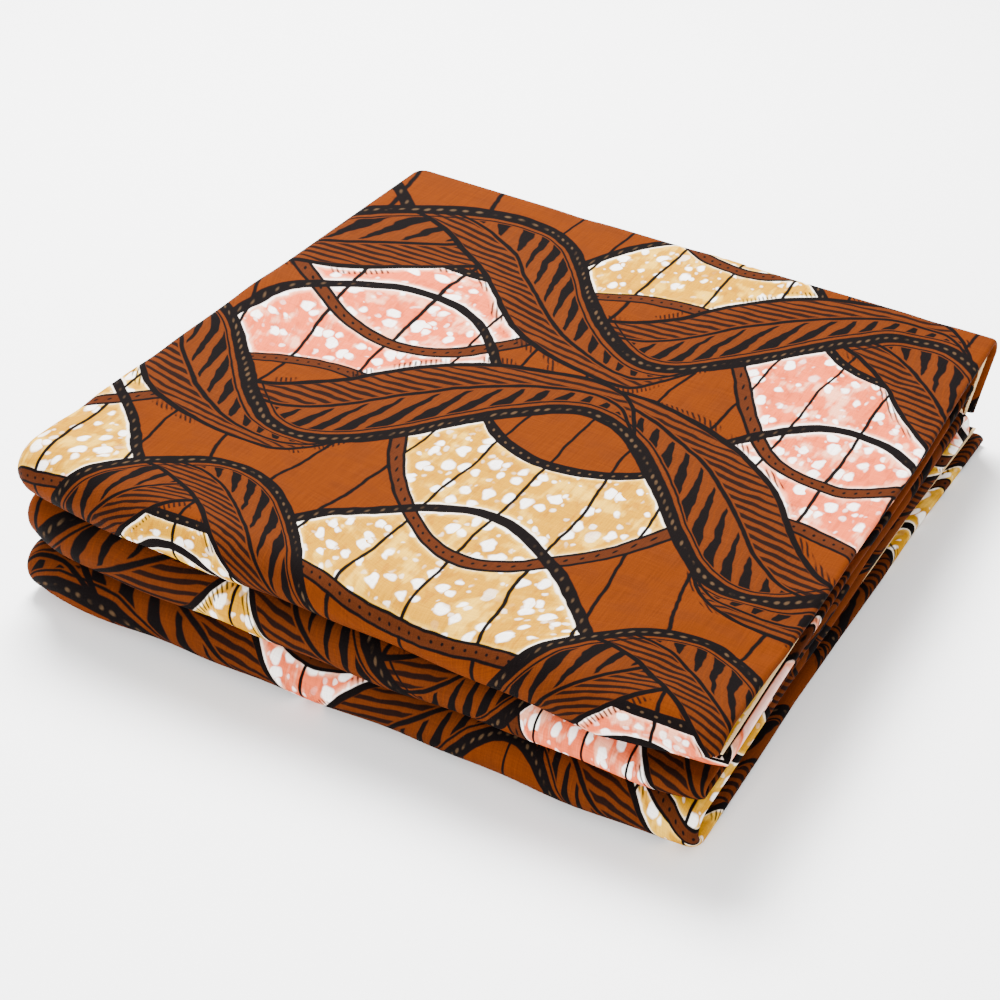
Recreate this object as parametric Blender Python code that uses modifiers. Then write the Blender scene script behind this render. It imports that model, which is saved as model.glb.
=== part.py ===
"""A folded length of printed cotton cloth, in metres, +Z up.

The cloth is folded in half twice across its width, which gives four layers, and then back and
forth along its length into six panels. The round folds between panels 1-2, 3-4 and 5-6 are the
three bulges along the front. The last panel's free end hangs down behind the stack.

X runs to the right along the front, Y to the back. The origin is on the surface that the stack
rests on, under the middle of its box.
"""
import math
from collections import namedtuple

import bmesh
import bpy

MM = 0.001

# Driving sizes in millimetres
WIDTH = 300.0
DEPTH = 312.0
SHEET = 1.0
FREE_GAP = 1.1

# One row for each panel, from the bottom up. pitch is the distance between two of its four
# layers and above is the gap up to the next panel, at the stack's left and right end. left is
# where its left-hand folds lie, and right_* where its right-hand fold lies at the front, in the
# middle and at the back. rim is how far, in pitches, the inner layer of the right-hand fold drops
# away from the outer one.
Panel = namedtuple("Panel", "pitch_left pitch_right above_left above_right left "
                            "right_front right_middle right_back rim")
PANELS = [
    Panel(3.00, 2.45, 3.5, 2.6, -160.0, 141.5, 142.5, 147.5, 0.9),
    Panel(3.00, 2.40, FREE_GAP, FREE_GAP, -160.0, 141.0, 141.5, 145.0, 1.2),
    Panel(2.95, 2.15, 3.3, 2.0, -158.0, 140.5, 141.5, 142.5, 1.2),
    Panel(2.95, 2.05, FREE_GAP, FREE_GAP, -158.0, 141.5, 142.0, 142.0, 1.0),
    Panel(3.00, 1.60, 5.2, 8.5, -157.0, 145.0, 145.5, 144.0, 0.4),
    Panel(3.15, 1.60, 0.0, 0.0, -154.0, 147.5, 149.0, 146.5, 0.6),
]

# One row for each round fold at the front and then at the back, from the bottom up. back_in is
# how far it stays inside the stack's depth, and puff is its length over its half height.
Fold = namedtuple("Fold", "back_in_left back_in_middle back_in_right puff")
FRONT_FOLDS = [
    Fold(1.0, 3.0, 0.5, 1.15),
    Fold(3.0, 2.0, 2.5, 1.10),
    Fold(0.5, 1.5, 1.0, 1.25),
]
BACK_FOLDS = [
    Fold(14.5, 15.0, 14.0, 1.10),
    Fold(14.5, 15.5, 14.0, 1.10),
]
BOTTOM_END = 2.0         # panel 1 stops this far in front of the stack's back

# The four layers of a panel, in pitches from its middle. The last is the outer side of the
# front folds, and the top face of the stack.
FIRST, SECOND, THIRD, FOURTH = -1.5, -0.5, 0.5, 1.5
LEFT_REACH = 8.0         # how far the left-hand folds round off, along X
RIGHT_REACH = 0.75       # the same at the right, in pitches
RIM_START = 0.45         # the right-hand rims open out from here, as a share past STEADY
SELVEDGE_IN = {FIRST: 9.0, SECOND: 17.0}
CORNER = 5.0             # the front folds draw back this far at their two ends
SQUASH = 0.055           # the middle of the stack is this much thinner than its rims

# Towards the front right corner panels 3 and 4 lie closer by this share of their pitch, and the
# hollow of the fold above them is higher by as much.
PRESSED = (2, 3)
PRESSED_SHARE = 0.32
PRESSED_FROM_X, PRESSED_TO_X = 40.0, 135.0
PRESSED_FROM_Y, PRESSED_TO_Y = -50.0, -140.0

# The mouth is the gap at the right-hand end of the top fold, where the lower part of its front
# wall draws back by MOUTH and its inner layers by MOUTH_INNER more.
MOUTH = 40.0
MOUTH_INNER = 22.0
SLANT_REACH = 14.0       # the rim is longer along X where it crosses the wall at a slant
MOUTH_LIP = math.radians(30)
MOUTH_DEEPEST = math.radians(62)
MOUTH_END = math.radians(128)

# The last panel's tail bends down over this radius to this angle, then hangs straight.
TAIL_RADIUS = 5.8
TAIL_ANGLE = math.radians(93)
TAIL_LEFT = 49.0
TAIL_RIGHT = 32.0
TAIL_SLANT = 5.0         # its right-hand fold comes in by this much on the way down

# How finely each stretch is divided
PANEL_STEPS = [0.0, 0.15, 0.5, 0.85, 1.0]
FRONT_STEPS = 9
MOUTH_STEPS = 15
BACK_STEPS = 6
STEADY = 95.0            # to the right of this X the layers' points follow the right-hand folds
LAYER_STEPS = [0.0, 0.18, 0.6, 1.0]
END_STEPS = {FIRST: [1.0], SECOND: [1.0], THIRD: [0.5, 0.75, 1.0], FOURTH: [0.5, 1.0]}
OUTER_STEPS = 7
INNER_STEPS = 4
RIM_STEPS = 5
TAIL_BEND_STEPS = 4
TAIL_HANG_STEPS = [0.5, 1.0]

CLOTH_COLOUR = (0.30, 0.09, 0.02, 1.0)


def blend(a, b, t):
    return a + (b - a) * t


def smooth(t):
    t = min(max(t, 0.0), 1.0)
    return t * t * (3.0 - 2.0 * t)


def through(first, middle, last, t):
    """The parabola through three values at 0, 0.5 and 1."""
    return (first * (1 - t) * (1 - 2 * t) + middle * 4 * t * (1 - t) + last * t * (2 * t - 1))


def across(x):
    """0 at the left end of the stack, 1 at its right end."""
    return min(max(x / WIDTH + 0.5, 0.0), 1.0)


def thinning(x, y):
    """1 at the rims, and a little less in the middle, where the layers lie closer."""
    across_x = max(0.0, 1.0 - (2 * x / WIDTH) ** 2)
    across_y = max(0.0, 1.0 - (2 * y / DEPTH) ** 2)
    return 1.0 - SQUASH * across_x * across_y


def pressed(x, y):
    along_x = (x - PRESSED_FROM_X) / (PRESSED_TO_X - PRESSED_FROM_X)
    along_y = (y - PRESSED_FROM_Y) / (PRESSED_TO_Y - PRESSED_FROM_Y)
    return PRESSED_SHARE * smooth(along_x) * smooth(along_y)


def free_pitch(index, x, y):
    row = PANELS[index]
    return blend(row.pitch_left, row.pitch_right, across(x)) * thinning(x, y)


def pitch(index, x, y):
    share = pressed(x, y) if index in PRESSED else 0.0
    return free_pitch(index, x, y) * (1.0 - share)


def gap_above(index, x, y):
    row = PANELS[index]
    gap = FREE_GAP + (blend(row.above_left, row.above_right, across(x)) - FREE_GAP) * thinning(x, y)
    if index == len(PANELS) - 2:
        gap += sum(3 * free_pitch(lower, x, y) * pressed(x, y) for lower in PRESSED)
    return gap


def level(index, x, y):
    """The height of a panel's middle line: half of it rests on all that lies below."""
    z = 1.5 * pitch(0, x, y) + SHEET / 2
    for lower in range(index):
        z += 1.5 * pitch(lower, x, y) + SHEET + gap_above(lower, x, y) + 1.5 * pitch(lower + 1, x, y)
    return z


def outer_side(index):
    """The fourth layer lies under panels 1, 3 and 5 and on top of panels 2, 4 and 6."""
    return -1 if index % 2 == 0 else 1


def half_height(low, x, y):
    """Half the distance between the middle lines of a panel and the next."""
    return (level(low + 1, x, y) - level(low, x, y)) / 2


def fold_centre(low, x):
    """Where the fold between a panel and the next has its centre, along Y."""
    at_front = low % 2 == 0
    row = (FRONT_FOLDS if at_front else BACK_FOLDS)[low // 2]
    inset = through(row.back_in_left, row.back_in_middle, row.back_in_right, across(x))
    end = abs(2 * x / WIDTH) ** 10
    if at_front:
        edge = -DEPTH / 2
        reach = row.puff * half_height(low, x, edge) + 1.5 * pitch(low, x, edge) + SHEET / 2
        return edge + inset + min(end, 1.2) * CORNER + reach
    edge = DEPTH / 2 - inset
    return edge - row.puff * half_height(low, x, edge) - 1.5 * pitch(low, x, edge) - SHEET / 2


def panel_ends(index, x):
    """The Y of a panel's front and back end."""
    front = fold_centre(index - index % 2, x)
    last = len(PANELS) - 1
    if index == 0:
        return front, DEPTH / 2 - BOTTOM_END
    if index == last:
        return front, DEPTH / 2 - TAIL_RADIUS - 1.5 * pitch(last, x, DEPTH / 2) - SHEET / 2
    return front, fold_centre(index - (index + 1) % 2, x)


# A station is a place along the cloth's length: its kind, the panel it is on or starts from,
# and how far along it is, from 0 to 1 or as an angle.
Station = namedtuple("Station", "kind index t")


def stations():
    """Every station from the bottom panel's free end to the end of the tail."""
    found = []
    for index in range(len(PANELS)):
        to_front = index % 2 == 0
        steps = [1.0 - t for t in PANEL_STEPS] if to_front else PANEL_STEPS
        found += [Station("panel", index, t) for t in steps]
        if index == len(PANELS) - 1:
            break
        count = FRONT_STEPS if to_front else BACK_STEPS
        if index == len(PANELS) - 2:
            count = MOUTH_STEPS
        kind = "front" if to_front else "back"
        found += [Station(kind, index, math.pi * i / count) for i in range(1, count)]
    last = len(PANELS) - 1
    found += [Station("bend", last, TAIL_ANGLE * (i + 1) / TAIL_BEND_STEPS)
              for i in range(TAIL_BEND_STEPS)]
    found += [Station("hang", last, t) for t in TAIL_HANG_STEPS]
    return found


def on_path(station, x, layer):
    """Y and Z of a point of the cloth at a station, layer pitches off the bundle's middle."""
    kind, index, t = station
    if kind == "panel":
        front, back = panel_ends(index, x)
        y = blend(front, back, t)
        return y, level(index, x, y) + outer_side(index) * layer * pitch(index, x, y)
    if kind in ("front", "back"):
        centre = fold_centre(index, x)
        turned = t / math.pi
        step = blend(pitch(index, x, centre), pitch(index + 1, x, centre), turned)
        radius = half_height(index, x, centre)
        middle = level(index, x, centre) + radius
        if kind == "front":
            puff = FRONT_FOLDS[index // 2].puff
            y = centre - (puff * radius + layer * step) * math.sin(t)
            return y, middle - (radius + layer * step) * math.cos(t)
        puff = BACK_FOLDS[index // 2].puff
        y = centre + (puff * radius - layer * step) * math.sin(t)
        return y, middle - (radius - layer * step) * math.cos(t)
    end = panel_ends(index, x)[1]
    reach = TAIL_RADIUS + layer * pitch(index, x, end)
    top = level(index, x, end) - TAIL_RADIUS
    angle = t if kind == "bend" else TAIL_ANGLE
    hang = blend(TAIL_LEFT, TAIL_RIGHT, across(x)) * t if kind == "hang" else 0.0
    y = end + reach * math.sin(angle) + hang * math.cos(TAIL_ANGLE)
    return y, top + reach * math.cos(angle) - hang * math.sin(TAIL_ANGLE)


def turned_share(station):
    """How far a station is from its own panel to the next, 0 to 1."""
    return station.t / math.pi if station.kind in ("front", "back") else 0.0


def mouth_share(station):
    """How far the mouth is open at a station, 0 to 1."""
    if station.kind != "front" or station.index != len(PANELS) - 2:
        return 0.0
    closing = (station.t - MOUTH_DEEPEST) / (MOUTH_END - MOUTH_DEEPEST)
    return smooth(station.t / MOUTH_LIP) * (1.0 - smooth(closing))


def right_edge(station):
    """X of the right-hand fold at a station."""
    row = PANELS[station.index]
    if station.kind == "panel":
        return through(row.right_front, row.right_middle, row.right_back, station.t)
    if station.kind in ("bend", "hang"):
        slant = TAIL_SLANT * station.t if station.kind == "hang" else 0.0
        return row.right_back - slant
    after = PANELS[station.index + 1]
    share = turned_share(station)
    if station.kind == "back":
        return blend(row.right_back, after.right_back, share)
    return blend(row.right_front, after.right_front, share) - MOUTH * mouth_share(station)


def rim_drop(station):
    row = PANELS[station.index]
    if station.kind in ("front", "back"):
        return blend(row.rim, PANELS[station.index + 1].rim, turned_share(station))
    return row.rim


def left_edge(station):
    row = PANELS[station.index]
    if station.kind in ("front", "back"):
        return blend(row.left, PANELS[station.index + 1].left, turned_share(station))
    return row.left


def mean_pitch(station, x):
    row = PANELS[station.index]
    here = pitch(station.index, x, DEPTH / 2)
    if station.kind in ("front", "back"):
        return blend(here, pitch(station.index + 1, x, DEPTH / 2), turned_share(station))
    return here


def profile(station):
    """The points (x, layer) across the cloth, from its first selvedge to its second.

    First layer to the left, round the outer left-hand fold, fourth layer to the right, round the
    right-hand rim, third layer to the left, round the inner left-hand fold, second layer out.
    """
    left = left_edge(station) + LEFT_REACH
    right = right_edge(station)
    rim_pitch = mean_pitch(station, right)
    drop = rim_drop(station)
    third_end = THIRD - drop
    rim_middle = (FOURTH + third_end) / 2
    rim_half = (FOURTH - third_end) / 2
    opened = mouth_share(station)
    slanting = 1.0 + SLANT_REACH * opened * (1.0 - opened)
    reach = RIGHT_REACH * rim_pitch * 2 * rim_half * slanting
    right -= reach
    points = []

    def run(layer, end, to_left):
        steady = min(STEADY, end - 4.0)
        found = [(blend(left, steady, t), layer) for t in LAYER_STEPS]
        for t in END_STEPS[layer]:
            dropped = drop * smooth((t - RIM_START) / (1.0 - RIM_START)) if layer == THIRD else 0.0
            found.append((blend(steady, end, t), layer - dropped))
        points.extend(reversed(found) if to_left else found)

    inner_in = MOUTH_INNER * opened
    run(FIRST, right - SELVEDGE_IN[FIRST] - inner_in, True)
    for i in range(1, OUTER_STEPS):
        angle = math.pi * i / OUTER_STEPS
        points.append((left - LEFT_REACH * math.sin(angle), -1.5 * math.cos(angle)))
    run(FOURTH, right, False)
    for i in range(1, RIM_STEPS):
        angle = math.pi * i / RIM_STEPS
        points.append((right + reach * math.sin(angle), rim_middle + rim_half * math.cos(angle)))
    run(THIRD, right, True)
    inner_reach = LEFT_REACH * 0.35
    for i in range(1, INNER_STEPS):
        angle = math.pi * i / INNER_STEPS
        points.append((left - inner_reach * math.sin(angle), 0.5 * math.cos(angle)))
    run(SECOND, right - SELVEDGE_IN[SECOND] - inner_in, False)
    return points


def cloth_sheet():
    """The cloth's middle surface: a grid whose rows follow its length, laid on the folds."""
    rows = stations()
    columns = len(profile(rows[0]))
    mesh = bmesh.new()
    bmesh.ops.create_grid(mesh, x_segments=columns - 1, y_segments=len(rows) - 1, size=0.5)
    mesh.verts.ensure_lookup_table()
    for row, station in enumerate(rows):
        for column, (x, layer) in enumerate(profile(station)):
            y, z = on_path(station, x, layer)
            mesh.verts[row * columns + column].co = (x * MM, y * MM, z * MM)
    return mesh


def centre_over_floor(mesh):
    """Shift the sheet so that the middle of its box is over the origin."""
    for axis in (0, 1):
        places = [vert.co[axis] for vert in mesh.verts]
        middle = (min(places) + max(places)) / 2
        for vert in mesh.verts:
            vert.co[axis] -= middle


def material(name, colour, roughness):
    made = bpy.data.materials.new(name)
    made.use_nodes = True
    shader = made.node_tree.nodes["Principled BSDF"]
    shader.inputs["Base Color"].default_value = colour
    shader.inputs["Roughness"].default_value = roughness
    shader.inputs["Metallic"].default_value = 0.0
    return made


def build():
    for old in list(bpy.data.objects):
        bpy.data.objects.remove(old)
    group = bpy.data.collections.new("folded_wax_print")
    bpy.context.scene.collection.children.link(group)

    sheet = cloth_sheet()
    centre_over_floor(sheet)
    mesh = bpy.data.meshes.new("cloth")
    sheet.to_mesh(mesh)
    sheet.free()
    mesh.shade_smooth()
    mesh.materials.append(material("printed_cotton", CLOTH_COLOUR, 0.75))
    cloth = bpy.data.objects.new("cloth", mesh)
    group.objects.link(cloth)

    thick = cloth.modifiers.new("thickness", "SOLIDIFY")
    thick.thickness = SHEET * MM
    thick.offset = 0.0


build()
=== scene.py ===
# %% [markdown]
# # A folded length of wax-print cotton
# This lesson builds one folded cloth and its print. The real thing is a single length of cotton,
# about 1.2 m wide, printed all over. It is folded in half twice across its width, then back and
# forth along its length, so that one flat bundle about 0.3 m square is left.
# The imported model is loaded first. It gives the frame: metres, X to the right along the front
# folds, Y to the back, Z up, and the origin under the middle of the bundle.

# %% Load the frame
import math
from collections import namedtuple

import bmesh
import bpy
import numpy as np
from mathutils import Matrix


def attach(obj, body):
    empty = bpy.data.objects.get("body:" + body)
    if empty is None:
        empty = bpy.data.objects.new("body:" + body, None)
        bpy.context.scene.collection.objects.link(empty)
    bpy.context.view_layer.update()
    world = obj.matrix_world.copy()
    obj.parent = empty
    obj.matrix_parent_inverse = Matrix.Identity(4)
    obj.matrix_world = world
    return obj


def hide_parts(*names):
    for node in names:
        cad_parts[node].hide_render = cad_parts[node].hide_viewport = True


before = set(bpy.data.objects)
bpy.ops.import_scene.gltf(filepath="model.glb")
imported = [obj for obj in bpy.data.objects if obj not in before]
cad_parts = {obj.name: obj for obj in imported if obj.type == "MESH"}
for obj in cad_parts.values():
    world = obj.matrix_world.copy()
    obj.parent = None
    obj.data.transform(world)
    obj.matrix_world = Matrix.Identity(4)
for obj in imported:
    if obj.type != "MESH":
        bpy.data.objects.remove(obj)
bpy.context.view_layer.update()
MM = 0.001

# %% [markdown]
# ## The camera
# The photograph looks down on the front right corner. Its perspective was fitted to the long
# edges of the bundle, which gives the lens and the place below. The camera comes first, so that
# every later step can be judged in the same view.

# %% Camera
LENS_MM = 66.8
CAMERA_AT = (0.3130, -0.5819, 0.4641)
CAMERA_AZIMUTH = 29.45
CAMERA_ELEVATION = 34.53

camera_data = bpy.data.cameras.new("camera")
camera_data.lens = LENS_MM
camera_data.sensor_width = 36.0
camera_data.clip_start = 0.02
camera = bpy.data.objects.new("camera", camera_data)
camera.location = CAMERA_AT
camera.rotation_euler = (math.radians(90 - CAMERA_ELEVATION), 0.0, math.radians(CAMERA_AZIMUTH))
bpy.context.scene.collection.objects.link(camera)
bpy.context.scene.camera = camera
print("camera at", CAMERA_AT, "with a lens of", LENS_MM, "mm")

# %% [markdown]
# ## The sizes of the folds
# A cloth folded like this is one long strip that never stretches, so it can be described by
# where its folds lie. The same tables shape the plain solid. Each panel is one run of the cloth
# from the front to the back, four layers thick. Lengths are in millimetres.

# %% Sizes of the bundle
WIDTH = 300.0
DEPTH = 312.0
SHEET = 1.0              # the room that the plain solid leaves for a layer
COTTON = 0.5             # the thickness of the cloth itself
FREE_GAP = 1.1
CENTRE_X, CENTRE_Y = 5.46, -0.56

Panel = namedtuple("Panel", "pitch_left pitch_right above_left above_right left "
                            "right_front right_middle right_back rim")
PANELS = [
    Panel(3.00, 2.45, 3.5, 2.6, -160.0, 141.5, 142.5, 147.5, 0.9),
    Panel(3.00, 2.40, FREE_GAP, FREE_GAP, -160.0, 141.0, 141.5, 145.0, 1.2),
    Panel(2.95, 2.15, 3.3, 2.0, -158.0, 140.5, 141.5, 142.5, 1.2),
    Panel(2.95, 2.05, FREE_GAP, FREE_GAP, -158.0, 141.5, 142.0, 142.0, 1.0),
    Panel(3.00, 1.60, 5.2, 8.5, -157.0, 145.0, 145.5, 144.0, 0.4),
    Panel(3.15, 1.60, 0.0, 0.0, -154.0, 147.5, 149.0, 146.5, 0.6),
]

Fold = namedtuple("Fold", "back_in_left back_in_middle back_in_right puff")
FRONT_FOLDS = [
    Fold(1.0, 3.0, 0.5, 1.15),
    Fold(3.0, 2.0, 7.0, 1.10),
    Fold(0.5, 1.5, 1.0, 1.25),
]
BACK_FOLDS = [
    Fold(14.5, 15.0, 14.0, 1.10),
    Fold(14.5, 15.5, 14.0, 1.10),
]
BOTTOM_END = 2.0

FIRST, SECOND, THIRD, FOURTH = -1.5, -0.5, 0.5, 1.5
LEFT_REACH = 8.0
RIGHT_REACH = 0.75
RIM_START = 0.45
SELVEDGE_IN = {FIRST: 0.5, SECOND: 17.0}
CORNER = 5.0
SQUASH = 0.055

PRESSED = (2, 3)
PRESSED_SHARE = 0.5
PRESSED_FROM_X, PRESSED_TO_X = 40.0, 135.0
PRESSED_FROM_Y, PRESSED_TO_Y = -50.0, -140.0

MOUTH = 40.0
MOUTH_INNER = 22.0
SLANT_REACH = 14.0
MOUTH_LIP = math.radians(24)
MOUTH_DEEPEST = math.radians(52)
MOUTH_END = math.radians(112)

TAIL_RADIUS = 5.8
TAIL_ANGLE = math.radians(93)
TAIL_LEFT = 49.0
TAIL_RIGHT = 32.0
TAIL_SLANT = 5.0
print(len(PANELS), "panels,", len(FRONT_FOLDS), "round folds at the front")

# %% [markdown]
# ## Where each layer lies
# Every panel rests on the panels below it, so its height is a sum of what is under it. The four
# layers of a panel are named by how far they lie from its middle, counted in pitches. The fourth
# layer is the one that shows on the front folds and on top.

# %% Heights of the panels


def blend(a, b, t):
    return a + (b - a) * t


def smooth(t):
    t = min(max(t, 0.0), 1.0)
    return t * t * (3.0 - 2.0 * t)


def through(first, middle, last, t):
    """The parabola through three values at 0, 0.5 and 1."""
    return first * (1 - t) * (1 - 2 * t) + middle * 4 * t * (1 - t) + last * t * (2 * t - 1)


def across(x):
    return min(max(x / WIDTH + 0.5, 0.0), 1.0)


def thinning(x, y):
    """The middle of the bundle is pressed a little flatter than its rims."""
    across_x = max(0.0, 1.0 - (2 * x / WIDTH) ** 2)
    across_y = max(0.0, 1.0 - (2 * y / DEPTH) ** 2)
    return 1.0 - SQUASH * across_x * across_y


def pressed(x, y):
    along_x = (x - PRESSED_FROM_X) / (PRESSED_TO_X - PRESSED_FROM_X)
    along_y = (y - PRESSED_FROM_Y) / (PRESSED_TO_Y - PRESSED_FROM_Y)
    return PRESSED_SHARE * smooth(along_x) * smooth(along_y)


def free_pitch(index, x, y):
    row = PANELS[index]
    return blend(row.pitch_left, row.pitch_right, across(x)) * thinning(x, y)


def pitch(index, x, y):
    share = pressed(x, y) if index in PRESSED else 0.0
    return free_pitch(index, x, y) * (1.0 - share)


def gap_above(index, x, y):
    row = PANELS[index]
    above = blend(row.above_left, row.above_right, across(x))
    gap = FREE_GAP + (above - FREE_GAP) * thinning(x, y)
    if index == len(PANELS) - 2:
        gap += sum(3 * free_pitch(lower, x, y) * pressed(x, y) for lower in PRESSED)
    return gap


def level(index, x, y):
    """The height of a panel's middle line."""
    z = 1.5 * pitch(0, x, y) + SHEET / 2
    for lower in range(index):
        z += 1.5 * pitch(lower, x, y) + SHEET + gap_above(lower, x, y) + 1.5 * pitch(lower + 1, x, y)
    return z


def outer_side(index):
    return -1 if index % 2 == 0 else 1


def half_height(low, x, y):
    return (level(low + 1, x, y) - level(low, x, y)) / 2


print("top panel's middle at", round(level(5, 0.0, 0.0), 1), "mm")

# %% [markdown]
# ## The path of the cloth
# A station is a place along the cloth's length. At a panel the cloth runs straight, at a fold it
# turns half round, and at the end it bends down behind the bundle as a loose tail.

# %% Stations along the length
Station = namedtuple("Station", "kind index t")
TOP_STEPS = 84
HIDDEN_STEPS = [0.0, 0.03, 0.08, 0.16, 0.28, 0.42, 0.58, 0.72, 0.84, 0.92, 0.97, 1.0]
FRONT_STEPS = 30
MOUTH_STEPS = 36
BACK_STEPS = 16
BEND_STEPS = 10
HANG_STEPS = 12


def ripple(low, x):
    """How far a fold wanders to and fro along its length."""
    return 0.55 * math.sin(x / 19.0 + 2.1 * low) + 0.45 * math.sin(x / 8.3 + 1.3 * low)


def fold_centre(low, x):
    """Where the fold between a panel and the next has its centre, along Y."""
    at_front = low % 2 == 0
    row = (FRONT_FOLDS if at_front else BACK_FOLDS)[low // 2]
    inset = through(row.back_in_left, row.back_in_middle, row.back_in_right, across(x))
    inset += ripple(low, x)
    end = abs(2 * x / WIDTH) ** 10
    if at_front:
        edge = -DEPTH / 2
        reach = row.puff * half_height(low, x, edge) + 1.5 * pitch(low, x, edge) + SHEET / 2
        return edge + inset + min(end, 1.2) * CORNER + reach
    edge = DEPTH / 2 - inset
    return edge - row.puff * half_height(low, x, edge) - 1.5 * pitch(low, x, edge) - SHEET / 2


def panel_ends(index, x):
    front = fold_centre(index - index % 2, x)
    last = len(PANELS) - 1
    if index == 0:
        return front, DEPTH / 2 - BOTTOM_END
    if index == last:
        return front, DEPTH / 2 - TAIL_RADIUS - 1.5 * pitch(last, x, DEPTH / 2) - SHEET / 2
    return front, fold_centre(index - (index + 1) % 2, x)


def stations():
    """Every station from the bottom panel's free end to the end of the tail."""
    found = []
    last = len(PANELS) - 1
    for index in range(len(PANELS)):
        to_front = index % 2 == 0
        steps = [i / TOP_STEPS for i in range(TOP_STEPS + 1)] if index == last else HIDDEN_STEPS
        found += [Station("panel", index, 1.0 - t if to_front else t) for t in steps]
        if index == last:
            break
        count = MOUTH_STEPS if index == last - 1 else FRONT_STEPS if to_front else BACK_STEPS
        kind = "front" if to_front else "back"
        found += [Station(kind, index, math.pi * i / count) for i in range(1, count)]
    found += [Station("bend", last, TAIL_ANGLE * (i + 1) / BEND_STEPS) for i in range(BEND_STEPS)]
    found += [Station("hang", last, (i + 1) / HANG_STEPS) for i in range(HANG_STEPS)]
    return found


print(len(stations()), "stations along the cloth")

# %% A point of the path


def on_path(station, x, layer):
    """Y and Z of a point of the cloth at a station, layer pitches off the bundle's middle."""
    kind, index, t = station
    if kind == "panel":
        front, back = panel_ends(index, x)
        y = blend(front, back, t)
        return y, level(index, x, y) + outer_side(index) * layer * pitch(index, x, y)
    if kind in ("front", "back"):
        centre = fold_centre(index, x)
        turned = t / math.pi
        step = blend(pitch(index, x, centre), pitch(index + 1, x, centre), turned)
        radius = half_height(index, x, centre)
        middle = level(index, x, centre) + radius
        if kind == "front":
            puff = FRONT_FOLDS[index // 2].puff
            y = centre - (puff * radius + layer * step) * math.sin(t)
            return y, middle - (radius + layer * step) * math.cos(t)
        puff = BACK_FOLDS[index // 2].puff
        y = centre + (puff * radius - layer * step) * math.sin(t)
        return y, middle - (radius - layer * step) * math.cos(t)
    end = panel_ends(index, x)[1]
    reach = TAIL_RADIUS + layer * pitch(index, x, end)
    top = level(index, x, end) - TAIL_RADIUS
    angle = t if kind == "bend" else TAIL_ANGLE
    hang = blend(TAIL_LEFT, TAIL_RIGHT, across(x)) * t if kind == "hang" else 0.0
    y = end + reach * math.sin(angle) + hang * math.cos(TAIL_ANGLE)
    return y, top + reach * math.cos(angle) - hang * math.sin(TAIL_ANGLE)


foremost = on_path(Station("front", len(PANELS) - 2, math.pi / 2), 0.0, FOURTH)
print("front of the top fold at y, z:", [round(v, 1) for v in foremost])

# %% [markdown]
# ## Across the cloth
# At every station the cloth runs four times between the left-hand folds and the right-hand rims.
# The rims are where the width was folded in half. At the front right corner the top fold stands
# open like a small mouth, because its inner layers are drawn back.

# %% The edges at a station


def turned_share(station):
    return station.t / math.pi if station.kind in ("front", "back") else 0.0


def mouth_share(station):
    """How far the mouth is open at a station, 0 to 1."""
    if station.kind != "front" or station.index != len(PANELS) - 2:
        return 0.0
    closing = (station.t - MOUTH_DEEPEST) / (MOUTH_END - MOUTH_DEEPEST)
    return smooth(station.t / MOUTH_LIP) * (1.0 - smooth(closing))


def right_edge(station):
    row = PANELS[station.index]
    if station.kind == "panel":
        wander = 0.5 * math.sin(15.0 * station.t + station.index) * math.sin(math.pi * station.t)
        return through(row.right_front, row.right_middle, row.right_back, station.t) + wander
    if station.kind in ("bend", "hang"):
        slant = TAIL_SLANT * station.t if station.kind == "hang" else 0.0
        return row.right_back - slant
    after = PANELS[station.index + 1]
    share = turned_share(station)
    if station.kind == "back":
        return blend(row.right_back, after.right_back, share)
    return blend(row.right_front, after.right_front, share) - MOUTH * mouth_share(station)


def rim_drop(station):
    row = PANELS[station.index]
    if station.kind in ("front", "back"):
        return blend(row.rim, PANELS[station.index + 1].rim, turned_share(station))
    return row.rim


def left_edge(station):
    row = PANELS[station.index]
    if station.kind in ("front", "back"):
        return blend(row.left, PANELS[station.index + 1].left, turned_share(station))
    return row.left


def mean_pitch(station, x):
    here = pitch(station.index, x, DEPTH / 2)
    if station.kind in ("front", "back"):
        return blend(here, pitch(station.index + 1, x, DEPTH / 2), turned_share(station))
    return here


print("the mouth goes", MOUTH, "mm in, and its inner layers", MOUTH_INNER, "mm more")

# %% The points across the cloth
STEADY = 95.0
SHOWN_STEPS = 40
HIDDEN_LAYER_STEPS = 9
SHOWN_END_STEPS = 14
HIDDEN_END_STEPS = 6
OUTER_STEPS = 14
INNER_STEPS = 6
RIM_STEPS = 10


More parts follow.
